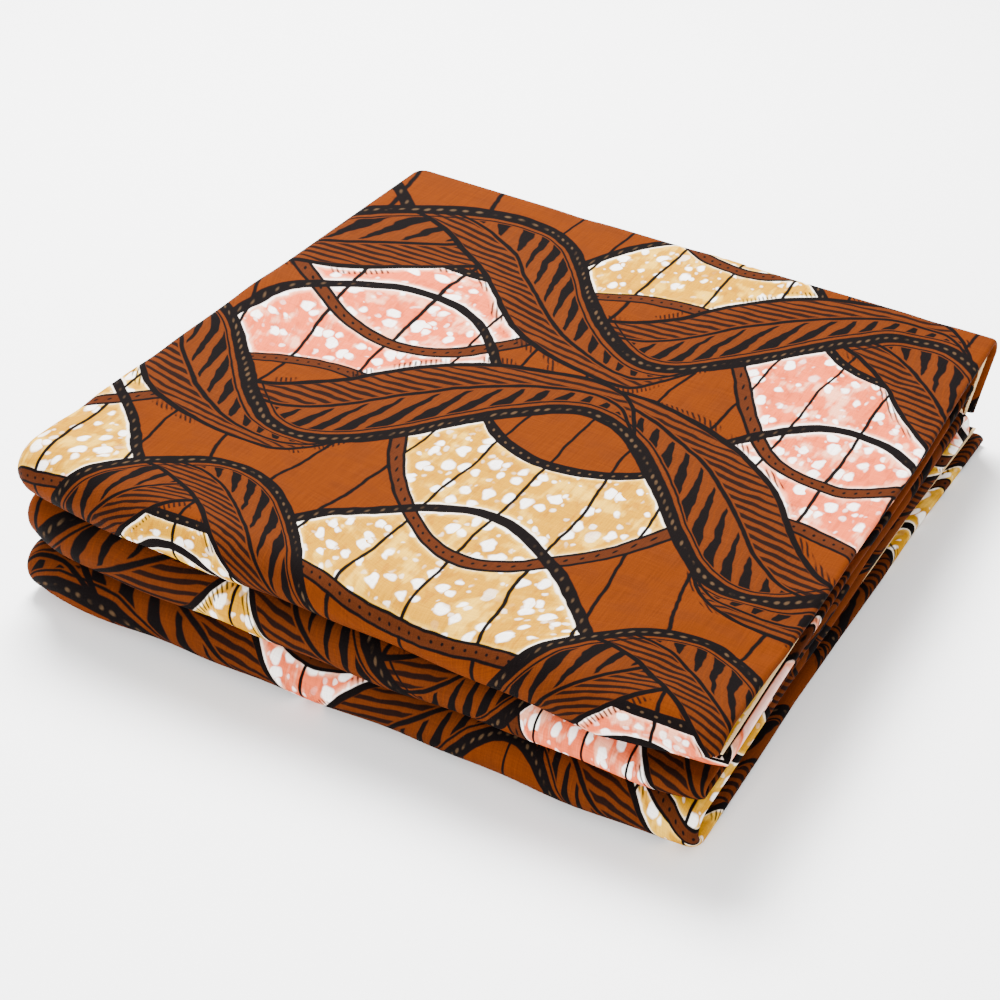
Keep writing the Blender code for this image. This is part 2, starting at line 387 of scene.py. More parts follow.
def profile(station):
    """The points (x, layer) across the cloth, from its first selvedge to its second."""
    left = left_edge(station) + LEFT_REACH
    right = right_edge(station)
    rim_pitch = mean_pitch(station, right)
    drop = rim_drop(station)
    third_end = THIRD - drop
    rim_middle = (FOURTH + third_end) / 2
    rim_half = (FOURTH - third_end) / 2
    opened = mouth_share(station)
    slanting = 1.0 + SLANT_REACH * opened * (1.0 - opened)
    reach = RIGHT_REACH * rim_pitch * 2 * rim_half * slanting
    right -= reach
    points = []

    def run(layer, end, to_left):
        shown = layer in (FOURTH, FIRST)
        long_steps = SHOWN_STEPS if shown else HIDDEN_LAYER_STEPS
        end_steps = SHOWN_END_STEPS if shown else HIDDEN_END_STEPS
        steady = min(STEADY, end - 4.0)
        found = [(blend(left, steady, i / long_steps), layer) for i in range(long_steps + 1)]
        for i in range(1, end_steps + 1):
            t = i / end_steps
            dropped = drop * smooth((t - RIM_START) / (1.0 - RIM_START)) if layer == THIRD else 0.0
            found.append((blend(steady, end, t), layer - dropped))
        points.extend(reversed(found) if to_left else found)

    inner_in = MOUTH_INNER * opened
    run(FIRST, right - SELVEDGE_IN[FIRST] - inner_in, True)
    for i in range(1, OUTER_STEPS):
        angle = math.pi * i / OUTER_STEPS
        points.append((left - LEFT_REACH * math.sin(angle), -1.5 * math.cos(angle)))
    run(FOURTH, right, False)
    for i in range(1, RIM_STEPS):
        angle = math.pi * i / RIM_STEPS
        points.append((right + reach * math.sin(angle), rim_middle + rim_half * math.cos(angle)))
    run(THIRD, right, True)
    inner_reach = LEFT_REACH * 0.35
    for i in range(1, INNER_STEPS):
        angle = math.pi * i / INNER_STEPS
        points.append((left - inner_reach * math.sin(angle), 0.5 * math.cos(angle)))
    run(SECOND, right - SELVEDGE_IN[SECOND] - inner_in, False)
    return points


rows = stations()
columns = len(profile(rows[0]))
print(columns, "points across,", len(rows), "along")

# %% [markdown]
# ## Creases
# Cloth that has lain folded is never quite flat. Long soft troughs run behind the front fold and
# along the rims, and a few ridges fan out from the corner where the mouth stands open. Each crease
# is one line of a table: from where to where it runs, and how wide and how high it is.

# %% Creases of the top
Crease = namedtuple("Crease", "x y to_x to_y wide high")
CREASES = [
    Crease(-150, -112, -30, -132, 9.0, -1.0),
    Crease(-30, -130, 80, -122, 10.0, -0.8),
    Crease(70, -152, 140, -70, 6.0, 0.9),
    Crease(92, -155, 146, -100, 4.5, -0.8),
    Crease(45, -150, 95, -85, 6.0, -0.7),
    Crease(-146, 10, -60, 60, 13.0, 0.8),
    Crease(-146, -60, -85, -20, 10.0, -0.6),
    Crease(-40, -30, 90, 15, 17.0, -0.7),
    Crease(15, 150, 50, 60, 12.0, 0.7),
    Crease(118, 140, 134, -40, 8.0, -0.9),
    Crease(-60, 150, -90, 90, 9.0, -0.7),
    Crease(80, 60, 140, 95, 7.0, 0.6),
]


def creased(x, y):
    """How high the creases lift or sink a place of the top panel."""
    lift = 0.0
    for crease in CREASES:
        run_x, run_y = crease.to_x - crease.x, crease.to_y - crease.y
        length = math.hypot(run_x, run_y)
        along = ((x - crease.x) * run_x + (y - crease.y) * run_y) / length
        aside = ((x - crease.x) * run_y - (y - crease.y) * run_x) / length
        past = max(0.0, -along, along - length)
        fading = (aside / crease.wide) ** 2 + (past / (2 * crease.wide)) ** 2
        lift += crease.high * math.exp(-fading)
    return lift


def share_of_creases(station):
    if station.index == len(PANELS) - 1 and station.kind == "panel":
        return 1.0
    if station.kind == "front" and station.index == len(PANELS) - 2:
        return smooth(2 * station.t / math.pi - 1.0)
    if station.kind == "bend":
        return 1.0 - smooth(station.t / TAIL_ANGLE)
    return 0.0


print(len(CREASES), "creases on top")

# %% [markdown]
# ## Laying the sheet
# The sheet will be a flat grid whose points are laid one by one on their places in the bundle. Its
# rows and columns follow the cloth's own threads. The places are worked out first, row by row, so
# that they can also be measured before the mesh is made.

# %% Places of the grid's points
laid = np.zeros((len(rows), columns, 3))
across_at = np.zeros((len(rows), columns))
layer_at = np.zeros((len(rows), columns))
for row, station in enumerate(rows):
    for column, (x, layer) in enumerate(profile(station)):
        y, z = on_path(station, x, layer)
        share = share_of_creases(station)
        if share > 0.0:
            z += share * creased(x, y)
        laid[row, column] = (x + CENTRE_X, y + CENTRE_Y, z)
        across_at[row, column] = x
        layer_at[row, column] = layer

fourth_start = (SHOWN_STEPS + SHOWN_END_STEPS + 1) + (OUTER_STEPS - 1)
middle_column = fourth_start + round(SHOWN_STEPS * 0.62)
top_start = next(i for i, s in enumerate(rows) if s.kind == "panel" and s.index == len(PANELS) - 1)
middle_row = top_start + TOP_STEPS // 2
print("top panel starts at row", top_start)

# %% [markdown]
# ## Where each point was on the flat cloth
# The print runs on round every fold, so each point has to know its place on the flat cloth. Across
# the cloth that is the length of its own row. Along the cloth the rows slant a little, so lengths
# are measured at a few fixed places instead, in each of the four layers, and read between them.

# %% Lengths along the threads
PATH_X = np.linspace(-170.0, 160.0, 12)
PATH_LAYERS = (FIRST, SECOND, THIRD, FOURTH)


def path_lengths():
    """How far along the cloth each station is, at a few places across and in each layer."""
    table = np.zeros((len(PATH_X), len(PATH_LAYERS), len(rows)))
    for i, x in enumerate(PATH_X):
        for j, layer in enumerate(PATH_LAYERS):
            path = np.array([on_path(station, x, layer) for station in rows])
            table[i, j, 1:] = np.linalg.norm(np.diff(path, axis=0), axis=1).cumsum()
            table[i, j] += path[middle_row, 0] - table[i, j, middle_row]
    return table


def between(values, count, first, last):
    """The table's row below each value, and how far past that row it is."""
    place = np.clip((values - first) / (last - first) * (count - 1), 0.0, count - 1.001)
    return place.astype(int), place - place.astype(int)


def lengths_at(table):
    i, s = between(across_at, len(PATH_X), PATH_X[0], PATH_X[-1])
    j, t = between(layer_at, len(PATH_LAYERS), FIRST, FOURTH)
    row = np.arange(len(rows))[:, None]
    near = table[i, j, row] * (1 - s) + table[i + 1, j, row] * s
    far = table[i, j + 1, row] * (1 - s) + table[i + 1, j + 1, row] * s
    return near * (1 - t) + far * t


def widths_at(points):
    """The length of thread from the middle of the top layer to each point of its row."""
    steps = np.linalg.norm(np.diff(points, axis=1), axis=2)
    length = np.concatenate([np.zeros((len(points), 1)), steps.cumsum(axis=1)], axis=1)
    return length - length[:, [middle_column]] + points[:, [middle_column], 0]


flat_u = widths_at(laid)
flat_v = lengths_at(path_lengths())
flat_width = float((flat_u.max(axis=1) - flat_u.min(axis=1)).mean())
flat_length = float((flat_v.max(axis=0) - flat_v.min(axis=0)).mean())
print("flat cloth", round(flat_width), "x", round(flat_length), "mm")
for fold in (4, 2, 0):
    halfway = [i for i, s in enumerate(rows) if s[:2] == ("front", fold) and s.t > math.pi / 2]
    print("front fold", fold, "has v", round(flat_v[halfway[0], middle_column]), "mm")

# %% [markdown]
# ## How the print lies on the cloth
# A length of cloth is never folded quite square to its print, and the print itself was never quite
# even. So the print is moved a little on the cloth: sideways and lengthways from fold to fold,
# wider apart at the left, and with its crests drawn up where the top fold turns down at the front.

# %% Drift of the print
Drift = namedtuple("Drift", "v sideways lengthways spread")
DRIFTS = [
    Drift(-1500.0, -53.0, 36.0, 40.0),
    Drift(-1290.0, -53.0, 36.0, 40.0),
    Drift(-780.0, -22.0, 39.0, 40.0),
    Drift(-700.0, -22.0, 39.0, 40.0),
    Drift(-230.0, 0.0, 0.0, 0.0),
    Drift(500.0, 0.0, 0.0, 0.0),
]
SPREAD_FROM, SPREAD_FOR = 30.0, 130.0
DRAWN_UP = {-232.0: 0.0, -190.0: 55.0, -160.0: 54.0, -136.0: 35.0, -110.0: 17.0, -80.0: 0.0}
CRESTS_AT, CRESTS_APART = -65.0, 196.0
LEFT_STRETCH, LEFT_FROM, LEFT_FOR = 0.38, -62.0, 95.0
STRETCHED_BELOW = {-260.0: 1.0, -200.0: 0.0}
STEADY_ROW, STEADY_REACH = -45.0, 50.0


def eased(t):
    t = np.clip(t, 0.0, 1.0)
    return t * t * (3.0 - 2.0 * t)


drift_v = [d.v for d in DRIFTS]
sideways = np.interp(flat_v, drift_v, [d.sideways for d in DRIFTS])
spread = np.interp(flat_v, drift_v, [d.spread for d in DRIFTS])
sideways += spread * eased((flat_u - SPREAD_FROM) / SPREAD_FOR)
lengthways = np.interp(flat_v, drift_v, [d.lengthways for d in DRIFTS])
pull = np.interp(flat_v, list(DRAWN_UP), list(DRAWN_UP.values()))
pull *= 0.5 + 0.5 * np.cos((flat_u - CRESTS_AT) * 2 * math.pi / CRESTS_APART)
stretch = LEFT_STRETCH * np.clip(LEFT_FROM - flat_u, 0.0, LEFT_FOR)
behind = 1.0 - np.exp(-((flat_v - STEADY_ROW) / STEADY_REACH) ** 2)
below = np.interp(flat_v, list(STRETCHED_BELOW), list(STRETCHED_BELOW.values()))
stretch *= np.where(flat_v > STEADY_ROW, behind, below)
print_u = flat_u + sideways + stretch
print_v = flat_v + lengthways - pull
print("the crests are drawn up by", round(float(pull.max())), "mm at most")

# %% [markdown]
# ## The sheet itself
# The grid is made with one call and its points are moved to their places. Each face corner keeps
# its place in the print as a UV map in metres, and each point keeps how far it is from the nearer
# selvedge. A Solidify modifier then gives the cotton its thickness.

# %% The sheet of cloth

def cloth_mesh(places, u, v, from_selvedge):
    mesh = bmesh.new()
    high, wide = places.shape[:2]
    bmesh.ops.create_grid(mesh, x_segments=wide - 1, y_segments=high - 1, size=0.5)
    mesh.verts.ensure_lookup_table()
    for row in range(high):
        for column in range(wide):
            mesh.verts[row * wide + column].co = places[row, column] * MM
    edge = mesh.verts.layers.float.new("from_selvedge")
    for vert in mesh.verts:
        row, column = divmod(vert.index, wide)
        vert[edge] = from_selvedge[row, column] * MM
    layer = mesh.loops.layers.uv.new("flat_cloth")
    for face in mesh.faces:
        for loop in face.loops:
            row, column = divmod(loop.vert.index, wide)
            loop[layer].uv = (u[row, column] * MM, v[row, column] * MM)
    return mesh


from_first = flat_u - flat_u.min(axis=1, keepdims=True)
from_last = flat_u.max(axis=1, keepdims=True) - flat_u
selvedge_away = np.minimum(from_first, from_last)
sheet = cloth_mesh(laid, print_u, print_v, selvedge_away)
cloth_data = bpy.data.meshes.new("wax_print_cloth")
sheet.to_mesh(cloth_data)
sheet.free()
cloth_data.shade_smooth()
cloth = bpy.data.objects.new("wax_print_cloth", cloth_data)
bpy.context.scene.collection.objects.link(cloth)
thick = cloth.modifiers.new("thickness", "SOLIDIFY")
thick.thickness = COTTON * MM
thick.offset = 0.0
print("cloth faces:", len(cloth_data.polygons))

# %% [markdown]
# ## Drawing with numbers
# The print is a drawing made of distances: how far a point of the cloth is from a wave, an arc or
# an edge. Each distance is worked out by Math nodes. To keep the drawing readable, a small class
# lets plain sums and products in Python make those nodes.

# %% Sums that make nodes
drawing = None           # the node tree that is being drawn in


class Wire:
    """A number or vector that varies over the cloth: one node's output."""

    def __init__(self, socket):
        self.socket = socket

    def __add__(self, other):
        return calc("ADD", self, other)

    def __radd__(self, other):
        return calc("ADD", other, self)

    def __sub__(self, other):
        return calc("SUBTRACT", self, other)

    def __rsub__(self, other):
        return calc("SUBTRACT", other, self)

    def __mul__(self, other):
        return calc("MULTIPLY", self, other)

    def __rmul__(self, other):
        return calc("MULTIPLY", other, self)

    def __truediv__(self, other):
        return calc("DIVIDE", self, other)

    def __rtruediv__(self, other):
        return calc("DIVIDE", other, self)


def feed(socket, value):
    if isinstance(value, Wire):
        drawing.links.new(value.socket, socket)
    else:
        socket.default_value = value


def calc(operation, *values):
    made = drawing.nodes.new("ShaderNodeMath")
    made.operation = operation
    for socket, value in zip(made.inputs, values):
        feed(socket, value)
    return Wire(made.outputs[0])


def cosine(a):
    return calc("COSINE", a)


def sine(a):
    return calc("SINE", a)


def whole(a):
    return calc("FLOOR", a)


def distance(a):
    return calc("ABSOLUTE", a)


def lower(a, b):
    return calc("MINIMUM", a, b)


def higher(a, b):
    return calc("MAXIMUM", a, b)


def wrapped(a, low, high):
    return calc("WRAP", a, high, low)


def one_less(a):
    return calc("SUBTRACT", 1.0, a)


print("sums, products and waves ready")

# %% Masks, mixes and noise


def rising(a, low, high):
    """0 below low, 1 above high, and smooth between."""
    made = drawing.nodes.new("ShaderNodeMapRange")
    made.interpolation_type = "SMOOTHSTEP"
    feed(made.inputs["Value"], a)
    feed(made.inputs["From Min"], low)
    feed(made.inputs["From Max"], high)
    return Wire(made.outputs["Result"])


EDGE = 0.28              # half the softness of a printed edge, in millimetres


def positive(a, soft=EDGE):
    return rising(a, -soft, soft)


def stroke(a, half_width, soft=EDGE):
    """A line along the places where a is 0."""
    return positive(half_width - distance(a), soft)


def stripes(a, spacing):
    """How far a place is from the middle of the nearest stripe, in the units of a."""
    return wrapped(a, -spacing / 2, spacing / 2)


def mixed(a, b, share):
    made = drawing.nodes.new("ShaderNodeMix")
    made.data_type = "FLOAT"
    made.clamp_factor = True
    feed(made.inputs[0], share)
    feed(made.inputs[2], a)
    feed(made.inputs[3], b)
    return Wire(made.outputs[0])


def dyed(under, over, share):
    """One colour laid over another."""
    made = drawing.nodes.new("ShaderNodeMix")
    made.data_type = "RGBA"
    feed(made.inputs[0], share)
    feed(made.inputs[6], under)
    feed(made.inputs[7], over)
    return Wire(made.outputs[2])


def joined(x, y, z=0.0):
    made = drawing.nodes.new("ShaderNodeCombineXYZ")
    for socket, value in zip(made.inputs, (x, y, z)):
        feed(socket, value)
    return Wire(made.outputs[0])


def parted(vector):
    made = drawing.nodes.new("ShaderNodeSeparateXYZ")
    feed(made.inputs[0], vector)
    return [Wire(socket) for socket in made.outputs]


def cloudy(place, size, detail=1.0):
    """Soft noise from 0 to 1, with blots of the given size."""
    made = drawing.nodes.new("ShaderNodeTexNoise")
    made.noise_dimensions = "2D"
    feed(made.inputs["Vector"], place)
    feed(made.inputs["Scale"], 1.0 / size)
    feed(made.inputs["Detail"], detail)
    return Wire(made.outputs["Fac"]), Wire(made.outputs["Color"])


def dye(red, green, blue):
    """A dye, by the share of red, green and blue light that it sends back."""
    return (red, green, blue, 1.0)


def group(name, inputs, outputs, draw):
    """A node group whose outputs are worked out from its inputs by the function draw."""
    global drawing
    made = bpy.data.node_groups.new(name, "ShaderNodeTree")
    for label, kind in inputs:
        made.interface.new_socket(label, in_out="INPUT", socket_type=kind)
    for label, kind in outputs:
        made.interface.new_socket(label, in_out="OUTPUT", socket_type=kind)
    before, drawing = drawing, made
    start = made.nodes.new("NodeGroupInput")
    end = made.nodes.new("NodeGroupOutput")
    found = draw(*[Wire(start.outputs[i]) for i in range(len(inputs))])
    for i, value in enumerate(found):
        feed(end.inputs[i], value)
    drawing = before
    print("group", name, "has", len(made.nodes), "nodes")
    return made


def placed(made, *values):
    """A node group put to use: its outputs for these inputs."""
    used = drawing.nodes.new("ShaderNodeGroup")
    used.node_tree = made
    for i, value in enumerate(values):
        feed(used.inputs[i], value)
    return [Wire(socket) for socket in used.outputs]


NUMBER, VECTOR, COLOUR = "NodeSocketFloat", "NodeSocketVector", "NodeSocketColor"

# %% [markdown]
# ## The wave and its leaves
# The main motif of this kind of print is a beaded wave with long leaves along it. One leaf lies
# on each slope of the wave. It starts as a tip under the crest, widens down the slope, and ends
# in a curl past the trough. Along its midrib it is parted into a half of black wedges and a half
# of fine lines. All of it follows one cosine, so the whole leaf is drawn from a few sizes.

# %% Sizes of the wave and the leaf
WAVE = 196.0             # from crest to crest
ROW = 128.0              # from one wave to the next
SWING = 41.0             # height of a crest over the wave's middle
LEAF_OUT = 22.0          # how far the leaves reach past the wave
TURN = 2 * math.pi / WAVE
LEAF_SHIFT, LEAF_SHIFT_END = 38.0, 8.0
LEAF_START, LEAF_END = -60.0, 136.0
LEAF_NARROWS_FROM = 15.0
CURL = 38.0              # how long the leaf takes to close past the trough
RIB_ALONG, RIB_DOWN = 0.62, 0.58
WEDGE_LEAN, LINE_LEAN = 0.22, 0.16
BEAD_BAND = 3.5
WEDGE = 7.8
FINE_LINE = 4.4


def wave(x):
    return SWING * cosine(TURN * x)


def upright(x):
    """The cosine of the wave's slant, which turns a height into a distance."""
    slope = (SWING * TURN) * sine(TURN * x)
    return calc("INVERSE_SQRT", slope * slope + 1.0)


def draw_leaf(x, y):
    shift = LEAF_SHIFT - (LEAF_SHIFT - LEAF_SHIFT_END) * rising(x, LEAF_NARROWS_FROM, WAVE / 2)
    closing = one_less(rising(x, WAVE / 2, WAVE / 2 + CURL))
    edge_x = x + shift
    from_edge = (y - wave(edge_x) + LEAF_OUT * closing) * upright(edge_x)
    from_wave = (wave(x) - y) * upright(x)
    rib_x = x + RIB_ALONG * shift
    from_rib = (y - wave(rib_x) + RIB_DOWN * LEAF_OUT * closing) * upright(rib_x)
    inside = positive(from_edge) * positive(from_wave)

    hand = cloudy(joined(x, y), 9.0)[0] - 0.5
    depth = from_wave / higher(from_wave + from_rib, 0.5)
    lean = x + WEDGE_LEAN * y + 2.2 * hand
    wedge_half = WEDGE * (0.42 * calc("POWER", higher(one_less(depth), 0.0), 0.55)) - 0.2
    wedges = positive(wedge_half - distance(stripes(lean, WEDGE)))
    wedges = wedges * positive(from_rib - 1.9) * positive(from_wave - BEAD_BAND - 3.0)
    seams = stroke(stripes(lean + 0.5 * WEDGE, WEDGE), 0.35) * positive(from_rib - 1.0)

    slanted = y + LINE_LEAN * x + 1.3 * hand
    tapering = 0.80 + 0.7 * hand + 0.35 * rising(from_edge, 1.0, 9.0)
    fine = positive(tapering - distance(stripes(slanted, FINE_LINE)), 0.35)
    fine = fine * positive(-1.6 - from_rib) * positive(from_edge - 1.4)

    rib = stroke(from_rib, 0.95)
    brim = stroke(from_edge, 1.25)
    lining = stroke(from_wave - BEAD_BAND - 2.0, 0.5)
    black = higher(higher(wedges, rib), higher(brim, lining))
    black = higher(black, 0.92 * fine)
    return inside, black, from_edge, 0.55 * seams


print("a leaf lies along", LEAF_END - LEAF_START, "mm of the wave")

# %% [markdown]
# ## The bubbled patches
# Between two waves lies a patch of colour, full of white bubbles. In the real print they come
# from wax resist that cracked and ran in the dye bath. Irregular blots from a Voronoi texture
# stand for them, with their places and sizes disturbed so that no two are alike.

# %% Bubbles
BUBBLE = 9.0


def draw_bubbles(place):
    bent = cloudy(place, 6.0)[1]
    x, y = parted(place)[:2]
    bend_x, bend_y = parted(bent)[:2]
    stretched = joined(x * 1.16 + 3.6 * bend_x, y * 0.84 + 3.6 * bend_y)
    cells = drawing.nodes.new("ShaderNodeTexVoronoi")
    cells.voronoi_dimensions = "2D"
    feed(cells.inputs["Vector"], stretched)
    feed(cells.inputs["Scale"], 1.0 / BUBBLE)
    chance = parted(Wire(cells.outputs["Color"]))
    radius = 0.13 + 0.22 * chance[0]
    kept = rising(chance[1], 0.16, 0.24)
    big = rising(radius - Wire(cells.outputs["Distance"]), -0.07, 0.06) * kept

    dots = drawing.nodes.new("ShaderNodeTexVoronoi")
    dots.voronoi_dimensions = "2D"
    feed(dots.inputs["Vector"], stretched)
    feed(dots.inputs["Scale"], 2.1 / BUBBLE)
    dot_chance = parted(Wire(dots.outputs["Color"]))
    small = rising(0.24 * dot_chance[0] + 0.08 - Wire(dots.outputs["Distance"]), -0.10, 0.10)
    small = small * rising(dot_chance[1], 0.60, 0.95)
    streaks = cloudy(joined(x * 0.8, y * 0.22), 2.4, 2.0)[0]
    washes = cloudy(place, 15.0, 2.0)[0]
    return higher(big, 0.6 * small), streaks, washes


print("bubbles about", BUBBLE, "mm apart")

# %% [markdown]
# ## The whole print
# The waves repeat in rows, and every second row is shifted by half a wave. A point of the cloth
# is first brought to the nearest wave. If it lies above the wave, the drawing is turned upside
# down, so that one description serves both sides.

# %% Sizes and colours of the print
CREST_AT, WAVE_MIDDLE = -68.0, 88.5
CAP_RISE, BOWL_DROP, GOLD_BOWL_DROP = 19.0, 23.0, 11.0
ARC_BEND = 0.0160
BOWL_HALF, CAP_HALF, OUTLINE = 3.2, 2.5, 0.75
CRESCENT_AT, CRESCENT_BEND = 61.5, 0.0115
LOW_CRESCENT_AT, LOW_CRESCENT_BEND = 53.0, 0.0067
LEFT_CRESCENT_AT, LEFT_CELL_TO = 47.0, -40.0
FRONT_CRESCENT_AT, FRONT_CELLS_AT = 37.0, -231.0
ON_TOP_FROM = -200.0
ALTERNATING_FROM = -165.0
TURNED_FROM = -1000.0
THREAD_LINE = 27.0
BRIM = 1.3
GROUND = dye(0.083, 0.0155, 0.0008)
LEAF = dye(0.066, 0.0137, 0.0020)
BLACK = dye(0.0028, 0.0018, 0.0018)
BEAD = dye(0.045, 0.026, 0.0130)
GOLD, GOLD_DEEP = dye(0.39, 0.174, 0.0002), dye(0.29, 0.108, 0.0002)
PINK, PINK_DEEP = dye(0.570, 0.0930, 0.0320), dye(0.390, 0.0550, 0.0170)
WHITE = dye(0.94, 0.91, 0.86)
PALE_GOLD, PALE_PINK = dye(0.64, 0.37, 0.035), dye(0.80, 0.36, 0.22)
SELVEDGE = dye(0.70, 0.48, 0.24)
BAND = dye(0.043, 0.0100, 0.0026)
print("a wave repeats after", WAVE, "mm, and a row after", ROW, "mm")

# %% The nearest wave
Nearest = namedtuple("Nearest", "row odd_row under over way along turned_x turned_y from_wave")


def nearest_wave(x, y):
    """The wave nearest in height, and the place seen from it, turned so that it lies below."""
    row_place = (y - (WAVE_MIDDLE - ROW / 2)) / ROW
    row = whole(row_place)
    odd_row = wrapped(row, 0.0, 2.0)
    from_middle = (row_place - row) * ROW - ROW / 2
    along = x - CREST_AT + (WAVE / 2) * row
    under = calc("LESS_THAN", from_middle, wave(along))
    over = one_less(under)
    way = 2.0 * under - 1.0
    turned_x = along - (WAVE / 2) * over
    turned_y = from_middle * way
    from_wave = (wave(along) - from_middle) * upright(along)
    return Nearest(row, odd_row, under, over, way, along, turned_x, turned_y, from_wave)


# %% The leaves on its slopes
PlacedLeaf = namedtuple("PlacedLeaf", "inside black from_edge seams here")


def leaf_here(slope, near, y):
    """1 where a slope of the wave carries its leaf on this side, and 0 elsewhere."""
    number = wrapped(slope, -0.5, 5.5)
    even = one_less(calc("COMPARE", number, 1.0, 0.3))
    odd = calc("COMPARE", number, 4.0, 0.3)
    odd = odd + calc("COMPARE", number, 1.0, 0.3) * calc("GREATER_THAN", y, ON_TOP_FROM)
    is_under = mixed(even, odd, near.odd_row)
    return is_under * near.under + one_less(is_under) * near.over


def leaves_of(near, y, leaf):
    """The leaf on the slope to the right of a crest, and the one on the slope to its left."""
    right_x = wrapped(near.turned_x, LEAF_START, LEAF_END)
    right_slope = whole((near.turned_x - right_x) * (2 / WAVE) + 0.5) + near.over
    left_x = wrapped(-1.0 * near.turned_x, LEAF_START, LEAF_END)
    left_slope = whole((near.turned_x + left_x) * (2 / WAVE) + 0.5) - 1.0 + near.over
    found = []
    for leaf_x, slope in ((right_x, right_slope), (left_x, left_slope)):
        inside, black, from_edge, seams = placed(leaf, leaf_x, near.turned_y)
        here = leaf_here(slope, near, y)
        found.append(PlacedLeaf(inside * here, black, from_edge, seams, here))
    return found


# %% The patch between two waves
Patch = namedtuple("Patch", "x y top_half from_cap from_bowl from_crescent coloured golden")


def crescent_line(cell_x, top_half, x, y):
    """How far from the middle of a patch the band lies that closes it above or below."""
    left_cell = calc("LESS_THAN", x, LEFT_CELL_TO) * calc("GREATER_THAN", y, 0.0)
    front_cell = stroke(y - FRONT_CELLS_AT, ROW / 2)
    top_line = mixed(CRESCENT_AT, LEFT_CRESCENT_AT, left_cell)
    top_line = mixed(top_line, FRONT_CRESCENT_AT, front_cell)
    bend = mixed(LOW_CRESCENT_BEND, CRESCENT_BEND, top_half)
    return mixed(LOW_CRESCENT_AT, top_line, top_half) + bend * cell_x * cell_x


def golden_at(near, golden_row, cell_x, y):
    """1 for gold and 0 for pink: by rows at first, then by turns along each row."""
    cell_row = -1.0 * near.row - near.over
    cell_column = (near.turned_x - cell_x) / WAVE + near.over + whole(0.5 * cell_row + 0.01)
    by_turns = calc("LESS_THAN", wrapped(cell_column + 0.5, 0.0, 2.0), 1.0)
    swapped = calc("LESS_THAN", y, TURNED_FROM)
    by_turns = distance(by_turns - swapped)
    return mixed(golden_row, by_turns, calc("LESS_THAN", y, ALTERNATING_FROM))


def patch_at(near, x, y):
    cell_x = wrapped(near.turned_x, -WAVE / 2, WAVE / 2)
    cell_y = (near.turned_y + ROW / 2) * near.way
    golden_row = near.odd_row * near.under + one_less(near.odd_row) * near.over
    bend = ARC_BEND * cell_x * cell_x
    slope = 2 * ARC_BEND * cell_x
    arc_slant = calc("INVERSE_SQRT", slope * slope + 1.0)
    from_cap = (cell_y - CAP_RISE + bend) * arc_slant
    bowl_drop = mixed(BOWL_DROP, GOLD_BOWL_DROP, golden_row)
    from_bowl = (cell_y + bowl_drop - bend) * arc_slant
    top_half = rising(cell_y, -1.0, 1.0)
    from_crescent = distance(cell_y) - crescent_line(cell_x, top_half, x, y)
    coloured = higher(positive(from_bowl), positive(-1.0 * from_cap))
    coloured = coloured * positive(-1.0 * from_crescent)
    not_far_corner = higher(rising(-1.0 * y, -62.0, -60.0), rising(x, -100.0, -98.0))
    golden = golden_at(near, golden_row, cell_x, y)
    return Patch(cell_x, cell_y, top_half, from_cap, from_bowl, from_crescent,
                 coloured * not_far_corner, golden)


print("a patch is known by", ", ".join(Patch._fields))

# %% [markdown]
# ## The colours of a patch
# Wax keeps the dye out, so a patch is palest along its edges, where the wax was thickest, and
# white where a bubble sat. Between them the dye is streaky, since it ran into the cotton unevenly.
# Every edge near the patch is found first, and the colour then fades towards the nearest one.

# %% Dyes of a patch
FAR = 99.0


def patch_colour(in_mm, patch, near, leaves, bubbles):
    blots, streaks, washes = placed(bubbles, in_mm)
    warm = rising(patch.golden + 0.7 * (washes - 0.5), 0.30, 0.70)
    tint = dyed(PINK, GOLD, warm)
    tint = dyed(tint, dyed(PINK_DEEP, GOLD_DEEP, warm), rising(streaks, 0.48, 0.68) * 0.6)
    pale = dyed(PALE_PINK, PALE_GOLD, warm)
    tint = dyed(tint, pale, rising(washes + 0.5 * streaks, 0.76, 0.98) * 0.8)
    nearest = lower(distance(patch.from_cap) - 2.6, distance(patch.from_bowl) - BOWL_HALF)
    nearest = lower(nearest, distance(near.from_wave) - BEAD_BAND)
    nearest = lower(nearest, distance(patch.from_crescent) - 2.6)
    for leaf in leaves:
        nearest = lower(nearest, mixed(FAR, distance(leaf.from_edge), leaf.here) - 1.2)
    uneven = 1.6 * (washes - 0.5) + 1.4 * (streaks - 0.5)
    tint = dyed(tint, pale, one_less(rising(nearest + uneven, 0.8, 3.2)) * 0.7)
    rim = one_less(rising(nearest + uneven, 0.2, 1.3))
    tint = dyed(tint, WHITE, higher(blots * 0.9, rim * 0.7))
    return tint, washes


print("the edges of a patch fade to", WHITE[:3])

# %% [markdown]
# ## Lines and bands over the dyes
# Over the dyes come the dark lines: thin upright threads, then the bands that cross in the middle
# of each patch and close it above and below. Each is a stroke along the places where a distance
# is nought, and rows of dots are laid along the bands.

# %% Threads and bands


def dots(step, away, size, soft=EDGE):
    """Round dots along a band, from the steps along it and the distance away from it."""
    return stroke(calc("POWER", step * step + away * away, 0.5), size, soft)


